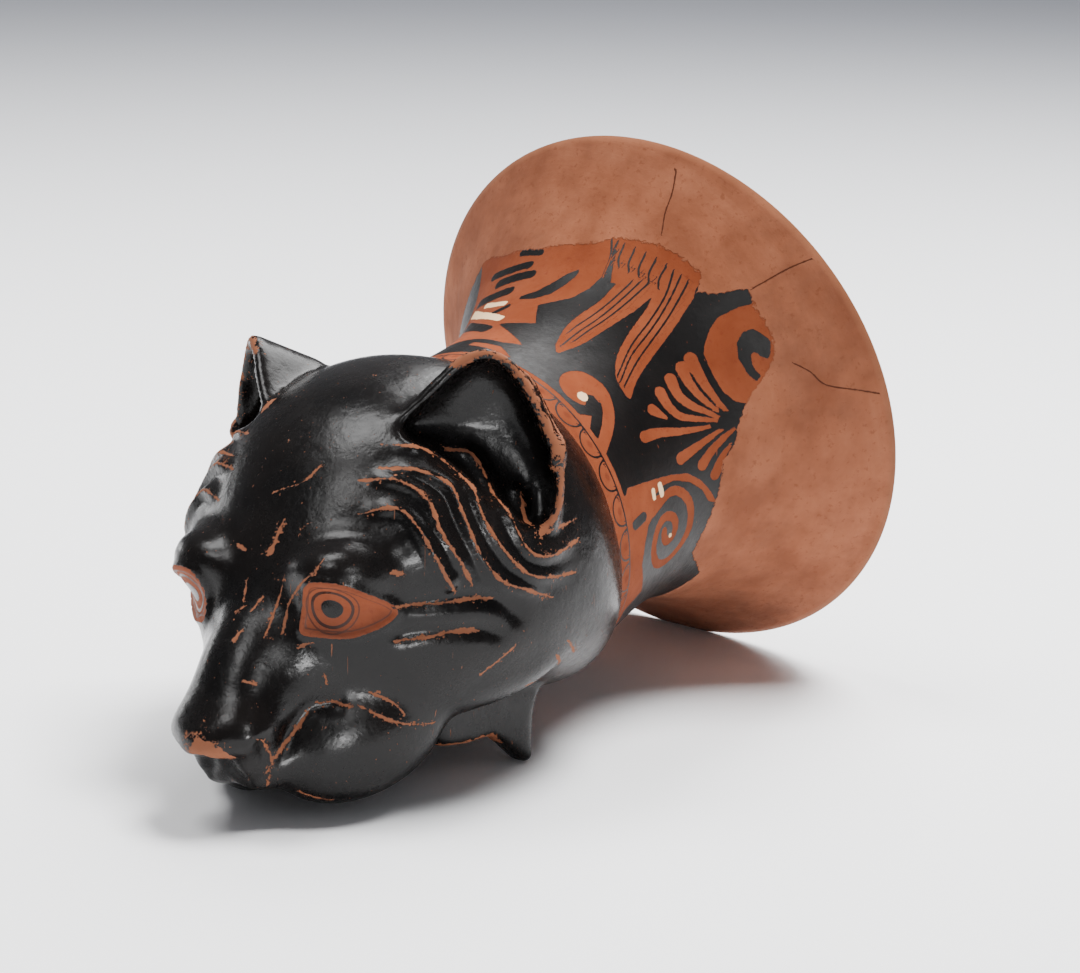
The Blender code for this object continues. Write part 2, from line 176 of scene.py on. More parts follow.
# Knocks on the animal's left and forehead: half width and directions.
CHIPS = (
    (0.50, ((38, 85), (42, 84), (47, 83))), (0.30, ((25, 80), (22, 82))), (0.22, ((46, 73), (48, 73))),
    (0.34, ((40, 105), (39, 102))), (0.30, ((21, 96), (22, 91))), (0.55, ((54, 34), (56, 32))),
    (0.28, ((24, 94), (29, 96))), (0.34, ((15, 83), (17, 81))), (0.36, ((22, 34), (24, 32))),
    (0.24, ((23, 8), (23, 3))), (0.30, ((10, 42), (11, 33))), (0.42, ((86, -25), (91, -26))),
    (0.30, ((94, -17), (99, -24))), (0.30, ((98, -14), (104, -22))), (0.34, ((85, 113), (89, 111))),
    (0.30, ((77, 131), (79, 124))), (0.40, ((102, 18), (108, 17))),
    (0.16, ((43, 54), (39, 54), (28, 60), (21, 52))), (0.20, ((48, 83), (42, 84), (38, 86))),
    (0.24, ((25, -62), (32, -59))), (0.16, ((67, -12), (72, -9), (78, -6))),
    (0.9, ((3, -60), (5, -47), (8, -46))), (0.8, ((3, -120), (2, -88), (4, -60))),
    (0.16, ((18, 60), (24, 66), (33, 70))), (0.16, ((56, 92), (60, 82), (66, 78))),
)
FOLD_WEAR = 0.27
EAR_WEAR = 0.40
# The bare tip of the nose: its place (s, left, up) and reach.
NOSE_WEAR = (160.5, 1.5, -4.2)
NOSE_WEAR_REACH = 4.2

# The stump of the lower jaw, in side view (s, height); only the left one keeps its spur.
JAW_SPUR = (
    (114, -18), (114, -26), (107, -29), (100, -30.5), (97, -34.5), (93.2, -40.8),
    (91, -40.8), (90.5, -37), (88, -31), (82, -22),
)
JAW_BROKEN = ((112, -18), (111, -23), (104, -26), (97, -27), (90, -31), (84, -31), (78, -29), (78, -22))
JAW_AT = 15.5
JAW_THICK = 6.0
JAW_SPLAY = 8.0

# The painting on the bowl. A place is degrees around the axis from the animal's left, upwards,
# and s in millimetres. PAINT_ARC is how many millimetres a degree is counted as.
PAINT_ARC = 0.628
# Where the mended clay towards the rim ends.
MENDED_EDGE = (
    (-50, 30), (-44, 33), (-38.7, 35.5), (-34, 37.6), (-30, 37.2), (-24, 35.9), (-17.4, 34.3),
    (-10.7, 32.6), (-5.4, 31.5), (-0.8, 30.5), (2.6, 27.2), (7.5, 25.7), (11, 23.8), (14.5, 21.3),
    (17, 18), (21, 14.3), (26, 13), (35, 12.6), (39, 11.5), (41.7, 14.3), (44, 16.3), (47.7, 18),
    (50, 15.1), (59.6, 14.9), (66, 15.3), (77.5, 16.8), (82, 18.6), (90, 19.3), (103, 19.7),
    (108, 18.8), (120, 17.2), (130, 13.8), (150, 17), (165, 19), (180, 24), (200, 27), (215, 31),
    (235, 33), (255, 30), (275, 28), (295, 31), (310, 30),
)
# Each stroke or area in the order it was painted: "clay" is left bare, "black" is gloss.
DRAPERY = (
    ("clay", "area", ((77.5, 14), (74.2, 24.7), (75.5, 28.4), (78.8, 31.8), (83.5, 33.8), (88.8, 35.5),
        (87.4, 37.2), (84.1, 40.5), (82.1, 42), (90, 42.8), (98, 43), (92.7, 45.1),
        (87.4, 47.2), (80.8, 49.7), (76.8, 51.3), (84, 52.2), (96, 51), (112, 50),
        (128, 44), (134, 30), (132, 12))),
    ("clay", "area", ((73, 58), (82, 54.4), (96, 53.2), (96, 54.8), (84, 56.4))),
    ("black", "area", ((83.1, 24.5), (82.5, 25.9), (84.1, 28.4), (87.4, 31.8), (92.7, 33.6), (99.4, 33.4),
        (100.4, 32.4), (94.1, 31.1), (90.1, 28.8), (86.8, 26.3))),
    ("black", 0.9, ((111, 36.6), (106.5, 36), (103, 35.2))),
    ("black", 1.5, ((130, 33), (116.6, 39.3), (108, 42.6), (100.7, 45.1))),
    ("black", 0.7, ((110, 19.2), (101, 20.6))),
    ("black", 0.9, ((123, 21), (113, 22.4), (104, 23))),
    ("black", 1.1, ((118, 24.6), (110, 25.4), (101, 25.8))),
    ("black", 1.2, ((128, 26), (118, 28.2), (108, 29.2))),
)
WING = (
    ("clay", "area", ((77.2, 14.5), (73.4, 21.5), (70.5, 25.4), (67.5, 24.9), (57.6, 23.8), (56, 24),
        (46, 22.2), (48.2, 18), (50, 13), (66, 12.5))),
    ("clay", "curve", ((67.5, 24), (69.2, 30.1), (71.5, 35.9), (71.5, 40.1), (69.9, 43.8), (67.5, 47.2),
        (64.6, 48.9), (63.4, 46.6), (61.6, 42.6), (60.6, 37.6), (58.9, 31.8), (57.3, 27.2),
        (57.6, 22.8))),
    ("clay", "curve", ((57.9, 19.8), (55.6, 25.1), (53.9, 31.8), (51.6, 37.2), (48.3, 41.3), (43.7, 44.3),
        (39, 45.4), (35.1, 45.3), (37.6, 42.2), (39.6, 39.2), (41.7, 34.3), (43.7, 28.4),
        (46, 22.2), (48.6, 18.1))),
)
VOLUTE = (
    ("clay", "area", ((38.9, 9), (35.4, 12.8), (36.9, 14.7), (38.4, 18.4), (37.4, 20.9), (34.4, 23.8),
        (32.4, 24.9), (27, 25.6), (20, 25.7), (15.5, 24.4), (11, 21), (14, 12), (26, 8))),
    ("black", "area", ((28, 14.3), (25, 13.6), (21, 15.3), (22.5, 16.3), (24.8, 16.8), (24.5, 17.8),
        (21.8, 18.4), (18, 17.9), (17.2, 19), (20.5, 19.9), (25.8, 19.9), (29.4, 18.7),
        (31, 16.8), (30.2, 15))),
)
PETALS = (
    ((33.9, 27.6), (25.8, 28.2), (18.5, 27.6), (11.9, 26.3)),
    ((33.2, 30.3), (27.8, 30.9), (21, 30.1), (15.2, 28.4)),
    ((32.4, 33.9), (26.4, 34.5), (21, 33), (17.2, 30.9), (12.5, 28.4)),
    ((30.8, 37.8), (25.8, 38), (20.5, 36.8), (16.5, 33.4), (12.5, 29.3)),
    ((27.5, 42), (22.2, 39.9)),
    ((21.5, 48), (19.8, 43.8), (16.5, 39.3), (13.8, 35.1), (11.9, 31.3)),
    ((7.5, 40.9), (7.9, 36.8), (8.5, 32.6), (9.2, 28.8)),
    ((1.3, 35.7), (3.9, 33), (6.2, 29.3), (7.5, 26.3)),
    ((-4.1, 33), (0, 30.9), (3.3, 28)),
)
PETAL_TIP = 1.35
PETAL_FOOT = 0.35
HEART = ("black", 1.5, ((11.4, 27.2), (11.0, 27.8)))
SPIRAL = (
    ("clay", "area", ((10.9, 59.7), (8.5, 53.8), (6.6, 49.3), (4.5, 45), (1.3, 40.1), (-4.1, 36.8),
        (-9.4, 34.7), (-14.7, 33.2), (-13, 35.3), (-7.4, 36.9), (-2, 40.1), (1.9, 44.3),
        (3, 48), (2, 53), (-1, 62), (6, 64))),
    ("clay", "area", ((0.5, 48.5), (-3, 52), (-6, 56), (-12, 58), (-19, 59), (-27, 57.4), (-34, 56),
        (-36, 63), (-1, 63), (5, 60))),
    ("clay", 1.05, ((-3, 53.5), (-0.8, 47.2), (-2.7, 43.8), (-8.1, 41.3), (-14, 40.7), (-20.7, 41.3),
        (-26, 43.8), (-28.3, 47.2), (-27, 50.5), (-23.4, 53), (-17.4, 54.3), (-12.1, 53.4),
        (-8.8, 51.3), (-8.4, 48.8), (-11.1, 46.5), (-14.7, 45.9), (-18, 46.8), (-18.6, 48.8),
        (-16, 50.1), (-13.4, 50.2))),
    ("black", 1.2, ((-1.8, 57.2), (-2, 60.5))),
)
SCROLL = (
    ("clay", 4.9, ((48.3, 53.7), (48.2, 53.7))),
    ("clay", 1.5, ((48, 50.2), (44, 50), (39.5, 51.1), (35.4, 53), (31.6, 56), (28.5, 59.6),
        (26.8, 62))),
    ("black", "area", ((45.4, 54.2), (43.4, 52.9), (39.7, 53.2), (36.4, 54.5), (33.8, 57.2), (31.4, 60.9),
        (35, 61), (38.5, 57.7), (41.4, 58.6), (42.6, 56.4))),
    ("clay", "area", ((38, 57.6), (41, 60.3), (34.4, 60.9))),
)
# Fine lines drawn over the wings with a stiff brush, side by side on each blade.
FEATHERS = (
    (((64.8, 23.5), (66.8, 31.8), (68.8, 38.4), (69, 41.5)),
     ((62.6, 22.5), (64.8, 33.4), (66.4, 40.1), (66.2, 46)),
     ((60.2, 22), (62.4, 31.8), (64.2, 38.4), (64.6, 43))),
    (((56.6, 17.8), (53.6, 22.2), (51.5, 28.4), (49.6, 35.1), (44.3, 43.4)),
     ((54, 17.8), (51, 24.3), (49, 30.1), (46.9, 37.2), (41.9, 44.2)),
     ((51.3, 17.8), (48.4, 24.7), (46.3, 31), (43.9, 37.3), (40, 44))),
)
FEATHER_PITCH = 1.3
FEATHER_REACH = 1.1
FEATHER_BASE = 10.0
# Half widths of fine lines, brush lines and cracks.
FINE_HALF = 0.22
BRUSH_HALF = 0.2
CRACK_HALF = 0.11
WING_LINES = (((77.8, 17.4), (75.5, 20.5), (74.2, 24.5)),)
SCALE_MARKS = tuple(
    ((t + 1.6, 17.6), (t + 0.9, 20.2), (t - 0.6, 21.6)) for t in (72, 68.4, 64.8, 61.2, 57.6)
)
CRACKS = (
    ((70.3, 3.5), (68.6, 7), (67.8, 10), (65.8, 13)),
    ((38.2, 11), (37.6, 9.1), (36.3, 5), (34.6, 1.5)),
    ((16.8, 12), (13.3, 10.3), (8.9, 8.8), (5.2, 4.4), (3, 1.5)),
)
CREAM = (
    (1, ((130, 28.4), (120, 33.4), (110, 37.2), (100.4, 40.3))),
    (0.7, ((120, 30.1), (113.3, 32.2), (106, 33.6))),
    (0.75, ((4, 49.3), (0.6, 49.4))),
    (0.6, ((4, 51.9), (1.4, 52.1))),
    (1.25, ((45.3, 55.4), (45.2, 55.5))),
    (0.55, ((-17.2, 47.8), (-16.8, 47.8))),
)
# The band of eggs where the bowl meets the head.
EGG_PITCH = 7.7
EGG_HALF_WIDTH = 3.3
EGG_DEPTH = 3.3

# What is written at each point: how far it lies inside a finish, how far it is from a drawn or worn
# line, on which side and how wide the line is, and the like; with the value away from all of them.
FIELDS = {
    "clay": -4.0, "line_gap": 9.0, "line_side": 9.0, "line_half": 0.22, "cream": -4.0, "wash": -4.0,
    "feather": 0.5, "feather_pitch": 9.0, "worn": 1.0, "mended": -20.0, "eye": -20.0, "eye_ring": 20.0,
    "chips": -0.05, "wheel": 0.0,
}
# Clouds and grain in the finishes: size in millimetres, detail and roughness.
GRAINS = {
    "edge": (0.9, 4.0, 0.6), "patches": (5.0, 6.0, 0.75), "flakes": (2.6, 6.0, 0.72),
    "holes": (0.8, 2.0, 0.5), "cloud": (14.0, 4.0, 0.6), "speck": (1.4, 3.0, 0.7),
    "stains": (22.0, 6.0, 0.65), "rubbed": (1.6, 5.0, 0.75), "dull": (12.0, 3.0, 0.5),
    "grit": (0.6, 3.0, 0.6), "smoothed": (7.0, 3.0, 0.55),
}
# Greater than any distance that matters, how far from a line its places are looked up, and a
# guard against dividing by nothing.
FAR = 1e3
LINE_REACH = 8.0
TINY = 1e-9


# ---------------------------------------------------------------- modelling

def choose(obj):
    """Make obj the only selected object and the one that is worked on."""
    if bpy.context.object and bpy.context.object.mode != "OBJECT":
        bpy.ops.object.mode_set(mode="OBJECT")
    bpy.ops.object.select_all(action="DESELECT")
    bpy.context.view_layer.objects.active = obj
    obj.select_set(True)


def finish_with(obj, kind, **settings):
    """Add a modifier with these settings and apply it."""
    choose(obj)
    modifier = obj.modifiers.new(kind.lower(), kind)
    for name, value in settings.items():
        setattr(modifier, name, value)
    bpy.ops.object.modifier_apply(modifier=modifier.name)


def combine(obj, other, operation):
    finish_with(obj, "BOOLEAN", operation=operation, object=other, solver="MANIFOLD")
    bpy.data.objects.remove(other, do_unlink=True)


def join(pieces):
    choose(pieces[0])
    for piece in pieces[1:]:
        piece.select_set(True)
    bpy.ops.object.join()
    return pieces[0]


def at(s, left, up):
    return Vector((left, -s, up))


def egg(name, centre, radii, pitch, yaw, side=1):
    """An egg of clay, on the animal's left (side 1) or right (side -1)."""
    s, left, up = centre
    bpy.ops.mesh.primitive_ico_sphere_add(
        subdivisions=5, radius=1.0, location=at(s, side * left, up), scale=radii,
        rotation=(math.radians(pitch), 0.0, math.radians(side * yaw)))
    obj = bpy.context.object
    obj.name = name
    bpy.ops.object.transform_apply(location=True, rotation=True, scale=True)
    return obj


def edit(*steps):
    """Take some steps in edit mode, each on the whole mesh, and turn its faces outwards."""
    bpy.ops.object.mode_set(mode="EDIT")
    for step, settings in (*steps, (bpy.ops.mesh.normals_make_consistent, {"inside": False})):
        bpy.ops.mesh.select_all(action="SELECT")
        step(**settings)
    bpy.ops.object.mode_set(mode="OBJECT")


def skin(name, rings):
    """Extrude a filled circle along a list of rings, each given point by point."""
    bpy.ops.mesh.primitive_circle_add(vertices=len(rings[0]), radius=1.0, fill_type="NGON")
    obj = bpy.context.object
    obj.name = name
    bpy.ops.object.mode_set(mode="EDIT")
    bpy.ops.mesh.select_all(action="SELECT")
    for _ in rings[1:]:
        bpy.ops.mesh.extrude_region_move(TRANSFORM_OT_translate={"value": (0.0, 0.0, 1.0)})
    bpy.ops.object.mode_set(mode="OBJECT")
    places = np.array([p for ring in rings for p in ring], dtype=np.float32)
    obj.data.vertices.foreach_set("co", places.ravel())
    edit()
    return obj


def wire(name, points, edges=()):
    mesh = bpy.data.meshes.new(name)
    mesh.from_pydata([tuple(p) for p in points], edges, [])
    obj = bpy.data.objects.new(name, mesh)
    bpy.context.scene.collection.objects.link(obj)
    choose(obj)
    return obj


def wrap(name, points):
    """The tightest closed skin round some points."""
    obj = wire(name, points)
    edit((bpy.ops.mesh.convex_hull, {}))
    return obj


def lathe(name, profile, steps):
    """Spin a profile of (s, radius) pairs about the axis; its ends lie on the axis."""
    obj = wire(name, [at(s, r, 0.0) for s, r in profile], [(i, i + 1) for i in range(len(profile) - 1)])
    round_axis = {"steps": steps, "angle": 2 * math.pi, "center": (0, 0, 0), "axis": (0, 1, 0)}
    edit((bpy.ops.mesh.spin, round_axis), (bpy.ops.mesh.remove_doubles, {"threshold": 0.0005}))
    return obj


def slab(name, outline, left, thick, splay, side):
    """A plate with the given side view, standing at left and turned by splay degrees."""
    pivot = at(outline[0][0], left, outline[0][1])
    turn = Matrix.Rotation(math.radians(splay), 4, "Z")
    turn = Matrix.Translation(pivot) @ turn @ Matrix.Translation(-pivot)
    return skin(name, [[turn @ at(s, left + shift, up) * Vector((side, 1.0, 1.0)) for s, up in outline]
                       for shift in (-thick / 2, thick / 2)])


# ---------------------------------------------------------------- curves and distances

def read_stations(s):
    """Half width, height and depth of the head at s, on a smooth curve through the stations."""
    table = np.array(HEAD_STATIONS)
    places = table[:, 0]
    i = int(np.clip(np.searchsorted(places, s) - 1, 0, len(places) - 2))
    step = places[i + 1] - places[i]
    t = (s - places[i]) / step
    slopes = np.gradient(table[:, 1:], places, axis=0) * step
    a, b = table[i, 1:], table[i + 1, 1:]
    return ((2 * t ** 3 - 3 * t ** 2 + 1) * a + (t ** 3 - 2 * t ** 2 + t) * slopes[i]
            + (3 * t ** 2 - 2 * t ** 3) * b + (t ** 3 - t ** 2) * slopes[i + 1])


def head_ring(s, inset, count):
    half, top, depth = read_stations(s) - inset
    ring = []
    for i in range(count):
        angle = 2 * math.pi * i / count
        c, d = math.cos(angle), math.sin(angle)
        x = half * math.copysign(abs(c) ** (2 / SECTION_POWER), c)
        z = (top if d > 0 else depth) * math.copysign(abs(d) ** (2 / SECTION_POWER), d)
        ring.append(at(s, x, z))
    return ring


def bowl_radius(s):
    """Outer radius of the bowl: a trumpet from the rim to the waist, then widening a little."""
    rise = np.clip((WAIST_AT - s) / (WAIST_AT - LIP_ROUND), 0.0, None)
    on = np.clip((s - WAIST_AT) / (BAND_AT - WAIST_AT), 0.0, None)
    flare = (RIM_RADIUS - WAIST_RADIUS) * rise ** FLARE_POWER
    return WAIST_RADIUS + flare + (BAND_RADIUS - WAIST_RADIUS) * on ** 1.5


def inside_of_bowl(s):
    """Place and radius of the inner wall facing the outer wall at s."""
    step = 0.01
    slope = (bowl_radius(s + step) - bowl_radius(s)) / step
    wall = LIP_WALL + (BOWL_WALL - LIP_WALL) * min(1.0, s / WAIST_AT)
    long = math.hypot(1.0, slope)
    return s + wall * slope / long, bowl_radius(s) - wall / long


def smooth_ring(points, count):
    """Read a closed curve through the points (Catmull and Rom's) at even steps."""
    size = len(points)
    ring = []
    for k in range(count):
        place = k * size / count
        i = int(place)
        t = place - i
        p0, p1, p2, p3 = (np.array(points[(i + n - 1) % size], dtype=float) for n in range(4))
        ring.append(0.5 * (2 * p1 + (p2 - p0) * t + (2 * p0 - 5 * p1 + 4 * p2 - p3) * t * t
                           + (3 * p1 - p0 - 3 * p2 + p3) * t ** 3))
    return ring


def smooth_line(points, steps=8):
    """Read an open curve through the points."""
    first, last = np.array(points[0], dtype=float), np.array(points[-1], dtype=float)
    before = 2 * first - np.array(points[1])
    after = 2 * last - np.array(points[-2])
    spread = [tuple(before), *points, tuple(after)]
    return smooth_ring(spread, len(spread) * steps)[steps:steps * len(points) + 1]


def direction(away, around, side):
    a, b = math.radians(away), math.radians(around)
    return Vector((side * math.sin(a) * math.cos(b), -math.cos(a), math.sin(a) * math.sin(b)))


def surface_line(tree, directions, side, closed=False):
    """Points on the outside of the head along a smooth line through the given directions."""
    line = smooth_ring(directions, len(directions) * 8) if closed else smooth_line(directions)
    centre = at(HEAD_CENTRE, 0.0, 0.0)
    hits = []
    for away, around in line:
        out = direction(away, around, side)
        hits.append(tree.ray_cast(centre + out * 200.0, -out)[0])
    return np.array(hits)


def snapped(tree, points):
    """The nearest places on the surface to some points."""
    return np.array([tree.find_nearest(Vector(p))[0] for p in points])


def along_line(places, line, turn):
    """Distance from each place to a line, on which side by the sign of turn, and how far along."""
    best, side, share = np.full(len(places), FAR), np.ones(len(places)), np.zeros(len(places))
    for k, (a, b) in enumerate(zip(line, line[1:])):
        run = b - a
        t = np.clip((places - a) @ run / max(run @ run, TINY), 0.0, 1.0)
        arm = places - a - t[:, None] * run
        far = np.linalg.norm(arm, axis=1)
        closer = far < best
        best = np.where(closer, far, best)
        side = np.where(closer, np.sign(turn(run, arm) + TINY), side)
        share = np.where(closer, (k + t) / (len(line) - 1), share)
    return best, side, share


def to_line(places, normals, line):
    """Distance to a line on the surface, the same with a sign for its sides, and how far along."""
    gap, signed, share = np.full(len(places), FAR), np.full(len(places), FAR), np.zeros(len(places))
    middle = line.mean(axis=0)
    reach = np.linalg.norm(line - middle, axis=1).max() + LINE_REACH
    near = np.where(np.linalg.norm(places - middle, axis=1) < reach)[0]
    out = normals[near]
    best, side, along = along_line(
        places[near], line, lambda run, arm: np.einsum("ij,ij->i", np.cross(run, arm), out))
    gap[near], signed[near], share[near] = best, best * side, along
    return gap, signed, share


def fading(share, ends=0.18):
    """One along most of a line and nothing at its two ends."""
    x = np.clip(np.minimum(share, 1.0 - share) / ends, 0.0, 1.0)
    return x * x * (3 - 2 * x)


def flat(points):
    """Painted places in millimetres on the unrolled bowl."""
    return np.array(points, dtype=float) * (PAINT_ARC, 1.0)


def to_stroke(places, line):
    """The same in the flat."""
    best, side, share = along_line(places, line, lambda run, arm: run[0] * arm[:, 1] - run[1] * arm[:, 0])
    return best, best * side, share


def inside_area(places, outline):
    """Distance in the flat to an outline, above zero inside it."""
    ring = np.vstack([outline, outline[:1]])
    gap, _, _ = to_stroke(places, ring)
    inside = np.zeros(len(places), dtype=bool)
    x, y = places[:, 0], places[:, 1]
    for (xa, ya), (xb, yb) in zip(ring, ring[1:]):
        if ya != yb:
            crosses = (ya > y) != (yb > y)
            inside ^= crosses & (x < (xb - xa) * (y - ya) / (yb - ya) + xa)
    return np.where(inside, gap, -gap)


# ---------------------------------------------------------------- the head in clay

def ear(name, side, grow, rings):
    """An ear's block, wrapped round copies of its rim, each scaled and moved along its facing."""
    rim = np.array(smooth_ring(EAR_RIM, EAR_STEPS))
    facing = np.array(EAR_FACING) / np.linalg.norm(EAR_FACING)
    middle = rim.mean(axis=0)
    out = []
    for scale, shift, slide in rings:
        for p in rim:
            arm = p - middle
            q = middle + arm * scale + arm / np.linalg.norm(arm) * grow
            q = q + facing * shift + np.array(EAR_BACK) * slide
            out.append(at(q[0], side * q[1], q[2]))
    return wrap(name, out)


def fuse(obj, rounds):
    """Make one clay body of what overlaps and smooth it."""
    finish_with(obj, "REMESH", mode="VOXEL", voxel_size=CLAY_CELL)
    finish_with(obj, "SMOOTH", factor=0.5, iterations=rounds)


def read_mesh(mesh):
    places = np.empty(len(mesh.vertices) * 3)
    mesh.vertices.foreach_get("co", places)
    normals = np.empty(len(mesh.vertices) * 3)
    mesh.vertex_normals.foreach_get("vector", normals)
    return places.reshape(-1, 3), normals.reshape(-1, 3)


def surface_tree(mesh):
    return BVHTree.FromPolygons([v.co for v in mesh.vertices], [p.vertices for p in mesh.polygons])


def head_lines(tree):
    """The lines of the head on its surface, by side: folds, creases, wear, ear rims, eyes, pupils."""
    found = {}
    for side in (1, -1):
        pupil = direction(*PUPIL, side)
        centre = at(HEAD_CENTRE, 0.0, 0.0)
        found[side] = {
            "folds": [surface_line(tree, d, side) for d in FOLDS],
            "creases": [surface_line(tree, d, side) for d in CREASES],
            "worn": [(half, surface_line(tree, d, side))
                     for half, d in WORN_LINES + (CHIPS if side > 0 else ())],
            "ear": snapped(tree, [at(s, side * left, up) for s, left, up in smooth_line(EAR_RIM[2:9])]),
            "eye": surface_line(tree, EYE_OUTLINE, side, closed=True),
            "pupil": np.array(tree.ray_cast(centre + pupil * 200.0, -pupil)[0]),
        }
    return found


def carve(head, lines):
    """Raise the folds with a steep front, sink the creases and round out the eyes."""
    mesh = head.data
    places, normals = read_mesh(mesh)
    lift = np.zeros(len(places))
    for side in (1, -1):
        ridge = np.zeros(len(places))
        for line in lines[side]["folds"]:
            gap, signed, share = to_line(places, normals, line)
            width = np.where(signed * side > 0, FOLD_BACK, FOLD_FRONT)
            ridge = np.maximum(ridge, np.exp(-(gap / width) ** 2) * fading(share))
        lift += FOLD_HEIGHT * ridge
        for line in lines[side]["creases"]:
            gap, _, share = to_line(places, normals, line)
            lift -= CREASE_DEPTH * np.exp(-(gap / CREASE_WIDTH) ** 2) * fading(share)
        outline = lines[side]["eye"]
        middle = outline.mean(axis=0)
        reach = np.linalg.norm(outline - middle, axis=1).max()
        gap = to_line(places, normals, np.vstack([outline, outline[:1]]))[0]
        lift += EYE_RISE * np.exp(-(gap / EYE_RIM_WIDTH) ** 2)
        ball = np.linalg.norm(places - middle, axis=1) / reach
        lift += EYE_RISE * np.clip(1.0 - ball ** 2, 0.0, 1.0)
    places += normals * lift[:, None]
    mesh.vertices.foreach_set("co", places.ravel())
    mesh.update()


def clay_head():
    """The head, built up from lumps and smoothed, with its ears, open mouth, folds and eyes."""
    stations = np.linspace(HEAD_STATIONS[-1][0], HEAD_STATIONS[0][0], SKULL_RINGS)
    pieces = [skin("skull", [head_ring(s, 0.0, SECTION_STEPS) for s in stations])]
    for name, paired, *shape in LUMPS:
        for side in (1, -1) if paired else (1,):
            pieces.append(egg(name, *shape, side=side))
    head = join(pieces)
    fuse(head, BLEND_ROUNDS)
    name, _, *shape = MOUTH
    combine(head, egg(name, *shape), "DIFFERENCE")
    pieces = [head, slab("jaw_left", JAW_SPUR, JAW_AT, JAW_THICK, -JAW_SPLAY, 1),
              slab("jaw_right", JAW_BROKEN, JAW_AT, JAW_THICK, -JAW_SPLAY, -1)]
    for side in (1, -1):
        pieces.append(ear("ear", side, EAR_WALL / 2, EAR_BLOCK))
    head = join(pieces)
    fuse(head, FINISH_ROUNDS)
    for side in (1, -1):
        combine(head, ear("ear_hollow", side, -EAR_WALL / 2, EAR_CUP), "DIFFERENCE")
    fuse(head, FINISH_ROUNDS)
    return head


def bowl_profile():
    """The outside of the bowl as (s, radius), with a rounded lip and close steps where it is painted."""
    lip = [(LIP_ROUND * (1 - math.sin(a)), RIM_RADIUS - LIP_ROUND * (1 - math.cos(a)))
           for a in np.linspace(math.pi / 2, 0.0, 6)]
    flare = np.arange(LIP_ROUND, PAINTED_FROM, 1.0)[1:]
    painted = np.arange(PAINTED_FROM, BAND_AT + 3.0, PAINT_STEP)
    wall = [(s, float(bowl_radius(s))) for s in (*flare, *painted, BOWL_END)]
    return [(0.0, 0.0), *lip, *wall, (BOWL_END, 0.0)]


def hollow():
    """What the vessel holds: the inside of the bowl, running on into the head."""
    along = WAIST_AT * np.linspace(0.0, 1.0, BOWL_RINGS) ** 1.3
    rings = []
    for s in (*along, BAND_AT):
        place, radius = inside_of_bowl(s)
        rings.append([at(place, radius * math.cos(a), radius * math.sin(a))
                      for a in np.linspace(0, 2 * math.pi, HOLLOW_STEPS, endpoint=False)])
    for s in np.linspace(BOWL_END + HEAD_WALL, HOLLOW_END, HEAD_RINGS):
        rings.append(head_ring(s, HEAD_WALL, HOLLOW_STEPS))
    last = np.array(rings[-1])
    middle = last.mean(axis=0)
    for scale, onward in HOLLOW_NOSE:
        rings.append([Vector(middle + (p - middle) * scale) - Vector((0.0, onward, 0.0)) for p in last])
    return skin("hollow", rings)


# ---------------------------------------------------------------- where each finish lies

